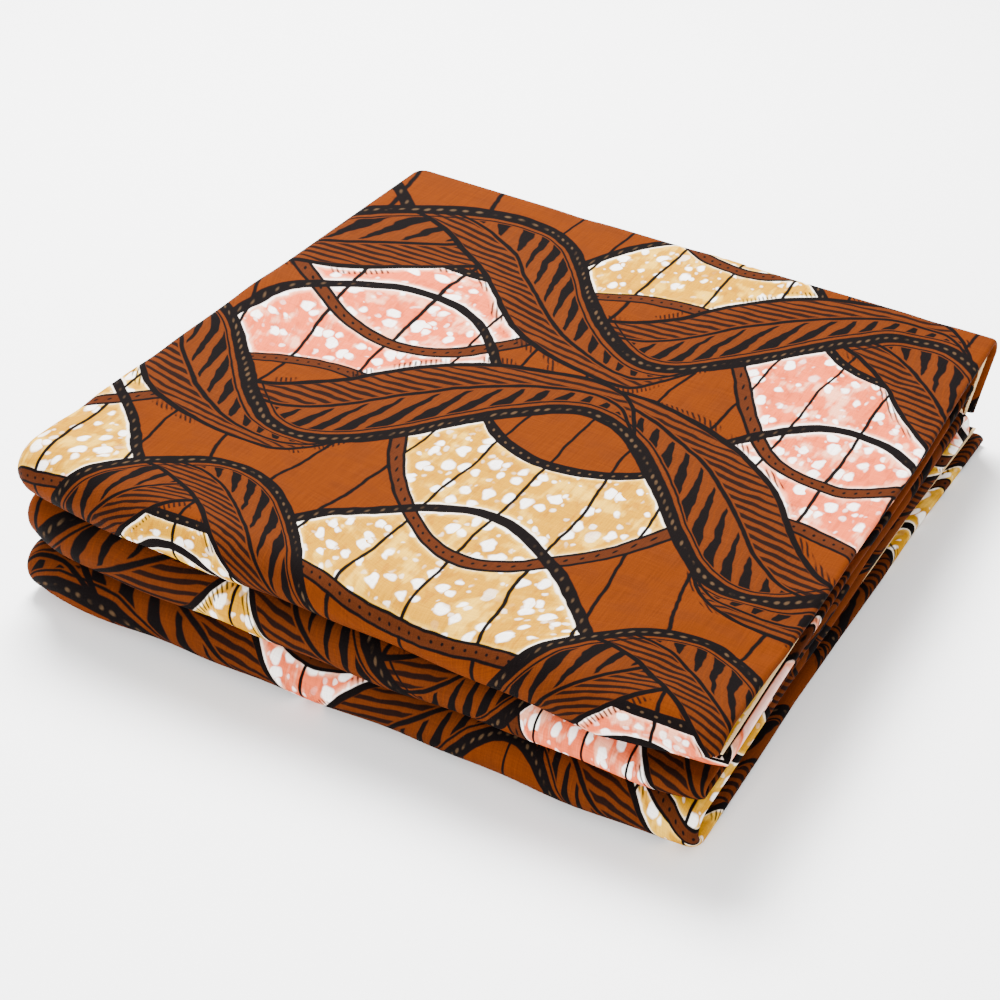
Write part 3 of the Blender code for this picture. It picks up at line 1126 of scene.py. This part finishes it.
def with_bands(colour, patch):
    threads = stroke(stripes(patch.x + 0.0015 * patch.x * patch.y, THREAD_LINE), OUTLINE)
    colour = dyed(colour, BLACK, threads)
    step = stripes(patch.x * 1.25, 5.4)
    colour = dyed(colour, BAND, stroke(patch.from_bowl, BOWL_HALF))
    bowl_edges = stroke(distance(patch.from_bowl) - BOWL_HALF, OUTLINE)
    colour = dyed(colour, BLACK, higher(bowl_edges, dots(step, patch.from_bowl, 0.75)))
    colour = dyed(colour, BLACK, stroke(patch.from_cap, CAP_HALF))
    cap_beads = dots(step, patch.from_cap, 0.7, 0.5)
    colour = dyed(colour, BEAD, cap_beads * rising(distance(patch.x), 14.0, 40.0) * 0.8)

    band_half = mixed(BOWL_HALF, CAP_HALF, patch.top_half)
    band = positive(band_half - distance(patch.from_crescent))
    band_edges = stroke(distance(patch.from_crescent) - band_half, 0.7)
    colour = dyed(colour, dyed(BAND, BLACK, patch.top_half), band)
    dot_colour = dyed(BLACK, BEAD, patch.top_half)
    colour = dyed(colour, dot_colour, dots(step, patch.from_crescent, 0.7))
    return dyed(colour, BLACK, band_edges)


# %% Leaves, fringes and beads


def with_fringe(colour, leaves, x, y, in_mm):
    """Short ragged dashes along the outer edges of the leaves."""
    ragged = cloudy(in_mm, 17.0)[0]
    right, left = [stroke(leaf.from_edge + 3.0, 1.7, 0.5) * leaf.here for leaf in leaves]
    dashes = stroke(stripes(x + 0.55 * y, 2.3), 0.5, 0.3) * rising(ragged, 0.44, 0.54)
    return dyed(colour, BLACK, higher(right, left) * dashes * 0.9)


def with_leaves(colour, near, leaves):
    """The right-hand leaf lies over the left-hand one where they meet."""
    right, left = leaves
    clear = one_less(right.inside)
    colour = dyed(colour, LEAF, higher(right.inside, left.inside))
    colour = dyed(colour, GROUND, higher(left.inside * left.seams, right.inside * right.seams))
    colour = dyed(colour, BLACK, left.inside * left.black * clear)
    colour = dyed(colour, BLACK, right.inside * right.black)
    left_brim = stroke(left.from_edge, BRIM) * left.here * clear
    brims = higher(stroke(right.from_edge, BRIM) * right.here, left_brim)
    return dyed(colour, BLACK, brims * positive(near.from_wave * near.way - 1.0))


def with_beads(colour, near, shake):
    arc = 1.36 * near.along - 5.15 * sine(2 * TURN * near.along)
    bead_x = stripes(arc, 4.5)
    from_bead = calc("POWER", bead_x * bead_x + 1.7 * near.from_wave * near.from_wave, 0.5)
    beads = stroke(from_bead, 0.55 + 0.9 * shake[2], 0.55)
    colour = dyed(colour, BLACK, stroke(near.from_wave, BEAD_BAND))
    return dyed(colour, BEAD, beads * rising(shake[0] + 0.5 * shake[2], 0.55, 0.80))


# %% The print put together


def draw_print(place, leaf, bubbles):
    flat_x, flat_y = parted(place)[:2]
    in_mm = joined(flat_x * 1000.0, flat_y * 1000.0)
    sway = parted(cloudy(in_mm, 46.0)[1])
    shake = parted(cloudy(in_mm, 8.0)[1])
    x = flat_x * 1000.0 + 5.0 * (sway[0] - 0.5) + 0.9 * (shake[0] - 0.5)
    y = flat_y * 1000.0 + 5.0 * (sway[1] - 0.5) + 0.9 * (shake[1] - 0.5)
    near = nearest_wave(x, y)
    leaves = leaves_of(near, y, leaf)
    patch = patch_at(near, x, y)
    tint, washes = patch_colour(in_mm, patch, near, leaves, bubbles)
    ground = dyed(GROUND, LEAF, rising(washes, 0.42, 0.75) * 0.5)
    colour = dyed(ground, tint, patch.coloured)
    colour = with_bands(colour, patch)
    colour = with_fringe(colour, leaves, x, y, in_mm)
    colour = with_leaves(colour, near, leaves)
    return (with_beads(colour, near, shake),)


leaf_group = group("leaf_on_a_wave", [("x", NUMBER), ("y", NUMBER)],
                   [("inside", NUMBER), ("black", NUMBER), ("from_edge", NUMBER), ("seams", NUMBER)],
                   draw_leaf)
bubble_group = group("wax_bubbles", [("place", VECTOR)],
                     [("bubbles", NUMBER), ("streaks", NUMBER), ("washes", NUMBER)], draw_bubbles)
print_group = group("wax_print", [("place", VECTOR)], [("colour", COLOUR)],
                    lambda place: draw_print(place, leaf_group, bubble_group))

# %% [markdown]
# ## The weave
# Cotton for this kind of print is woven plain: each thread goes over one and under the next, and
# the threads are never all alike. Two waves at right angles give the crossings, and stretched
# noise makes some threads thicker. The weave is far too fine to model, so it is left to a bump.

# %% Plain weave
THREAD = 0.62            # from one thread to the next, in millimetres


def draw_weave(place):
    flat_x, flat_y = parted(place)[:2]
    x = flat_x * 1000.0
    y = flat_y * 1000.0
    uneven_x = cloudy(joined(x * 1.6, y * 0.05), 1.0)[0] - 0.5
    uneven_y = cloudy(joined(x * 0.05, y * 1.6), 1.0)[0] - 0.5
    turns = 2 * math.pi / THREAD
    crossing = sine(turns * x + 1.2 * uneven_x) * sine(turns * y + 1.2 * uneven_y)
    fuzz = cloudy(joined(x, y), 0.45, 2.0)[0] - 0.5
    slub = uneven_x + uneven_y
    height = 0.5 + 0.24 * crossing + 0.55 * slub + 0.30 * fuzz
    return height, slub + 0.35 * fuzz


weave_group = group("plain_weave", [("place", VECTOR)],
                    [("height", NUMBER), ("thread", NUMBER)], draw_weave)

# %% [markdown]
# ## The printed cotton
# The print's colour, the weave's bump and a soft dry surface make the finished cotton. Dye sinks
# into cotton, so there is hardly any gloss. A little sheen stands for the loose fibre ends.

# %% Printed cotton
UNDYED_FROM, UNDYED_TO = 0.7, 1.3    # where the dye ends at a selvedge, in millimetres
UNEVEN_DYE = 0.34


def draw_shade(place, colour, from_selvedge):
    height, thread = placed(weave_group, place)
    undyed = one_less(rising(from_selvedge * 1000.0 + 0.8 * thread, UNDYED_FROM, UNDYED_TO))
    colour = dyed(colour, SELVEDGE, undyed)
    worn = drawing.nodes.new("ShaderNodeMix")
    worn.data_type = "RGBA"
    worn.blend_type = "MULTIPLY"
    worn.inputs[0].default_value = 1.0
    feed(worn.inputs[6], colour)
    level_of_dye = 1.0 + UNEVEN_DYE * thread
    feed(worn.inputs[7], joined(level_of_dye, level_of_dye, level_of_dye))
    return Wire(worn.outputs[2]), height


cotton = bpy.data.materials.new("printed_cotton")
cotton.use_nodes = True
drawing = cotton.node_tree
flat_place = drawing.nodes.new("ShaderNodeUVMap")
flat_place.uv_map = "flat_cloth"
selvedge = drawing.nodes.new("ShaderNodeAttribute")
selvedge.attribute_name = "from_selvedge"
place_in_print = Wire(flat_place.outputs[0])
printed = placed(print_group, place_in_print)[0]
shaded, weave_height = draw_shade(place_in_print, printed, Wire(selvedge.outputs["Fac"]))
shader = drawing.nodes["Principled BSDF"]
feed(shader.inputs["Base Color"], shaded)
bump = drawing.nodes.new("ShaderNodeBump")
bump.inputs["Strength"].default_value = 0.35
bump.inputs["Distance"].default_value = 0.0002
feed(bump.inputs["Height"], weave_height)
feed(shader.inputs["Normal"], Wire(bump.outputs["Normal"]))
shader.inputs["Roughness"].default_value = 0.8
shader.inputs["Specular IOR Level"].default_value = 0.02
shader.inputs["Sheen Weight"].default_value = 0.002
shader.inputs["Sheen Roughness"].default_value = 0.5
cloth_data.materials.append(cotton)
print("printed cotton is ready")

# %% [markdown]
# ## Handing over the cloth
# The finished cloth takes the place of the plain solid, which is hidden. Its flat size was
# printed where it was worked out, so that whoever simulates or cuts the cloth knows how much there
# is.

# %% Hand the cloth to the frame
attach(cloth, "root")
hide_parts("cloth")
print("the cloth is handed over")

# %% [markdown]
# ## Studio
# The bundle lies on a white sweep under broad soft light. The world is nearly white, so the floor
# runs out to a pale background, and the shadow under the folds stays soft.

# %% Floor and light
floor_mesh = bmesh.new()
bmesh.ops.create_grid(floor_mesh, x_segments=2, y_segments=2, size=3.0)
floor_data = bpy.data.meshes.new("floor")
floor_mesh.to_mesh(floor_data)
floor_mesh.free()
floor = bpy.data.objects.new("floor", floor_data)
bpy.context.scene.collection.objects.link(floor)
floor_paint = bpy.data.materials.new("white_floor")
floor_paint.use_nodes = True
floor_shader = floor_paint.node_tree.nodes["Principled BSDF"]
floor_shader.inputs["Base Color"].default_value = (0.95, 0.95, 0.95, 1.0)
floor_shader.inputs["Roughness"].default_value = 0.6
floor_data.materials.append(floor_paint)

world = bpy.data.worlds.new("studio")
world.use_nodes = True
sky = world.node_tree.nodes["Background"]
sky.inputs["Color"].default_value = (1.0, 1.0, 1.0, 1.0)
sky.inputs["Strength"].default_value = 1.5
bpy.context.scene.world = world


def soft_box(name, place, aim, size, power):
    data = bpy.data.lights.new(name, "AREA")
    data.shape = "SQUARE"
    data.size = size
    data.energy = power
    lamp = bpy.data.objects.new(name, data)
    lamp.location = place
    direction = np.array(aim) - np.array(place)
    lamp.rotation_euler = (
        math.atan2(math.hypot(direction[0], direction[1]), -direction[2]),
        0.0,
        math.atan2(direction[0], -direction[1]) + math.pi,
    )
    bpy.context.scene.collection.objects.link(lamp)


soft_box("key_light", (-0.45, 0.5, 1.25), (0.0, 0.0, 0.0), 0.7, 105.0)
soft_box("front_light", (0.30, -1.20, 0.50), (0.0, -0.1, 0.03), 0.7, 24.0)
print("two soft boxes and a white floor")
